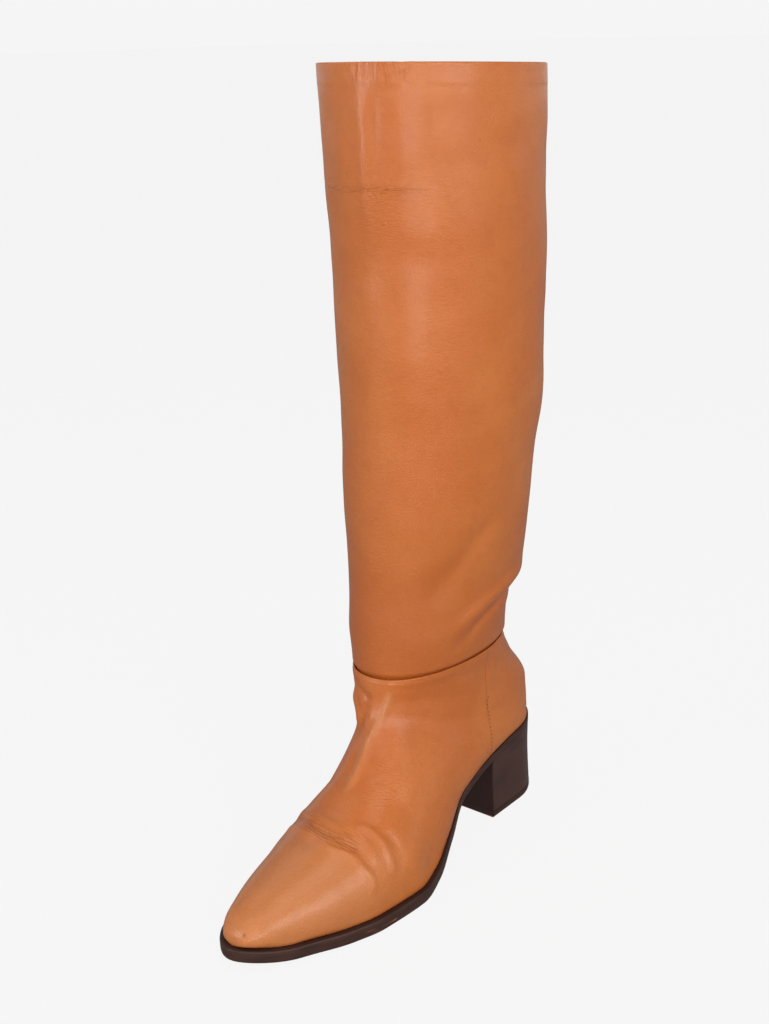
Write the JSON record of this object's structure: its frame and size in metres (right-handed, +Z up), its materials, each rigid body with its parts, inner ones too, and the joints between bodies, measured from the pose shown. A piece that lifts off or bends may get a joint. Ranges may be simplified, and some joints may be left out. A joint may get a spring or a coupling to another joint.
{
  "type": "knee-high boot",
  "caption": "Knee-high pull-on leather boot with an almond toe, a lapped ankle seam, a wide straight shaft and a low block heel; right foot.",
  "frame": {"origin": "middle of the bounding box's bottom face, on the floor", "axes": "+Z up along the shaft, -Y towards the toe, +X towards the inner (medial) side of the foot"},
  "size_m": [0.118, 0.281, 0.472],
  "materials": {
    "upper_leather": "smooth satin calf leather",
    "sole_leather": "dark stained edge",
    "heel_stack": "dark polished stacked leather",
    "lift_rubber": "matt rubber",
    "lining_leather": "unpolished lining leather"
  },
  "bodies": {
    "root": {"outsole": "sole_leather", "heel_block": "heel_stack", "top_lift": "lift_rubber", "insole": "lining_leather", "upper": "upper_leather", "shaft": "upper_leather"}
  },
  "joints": []
}
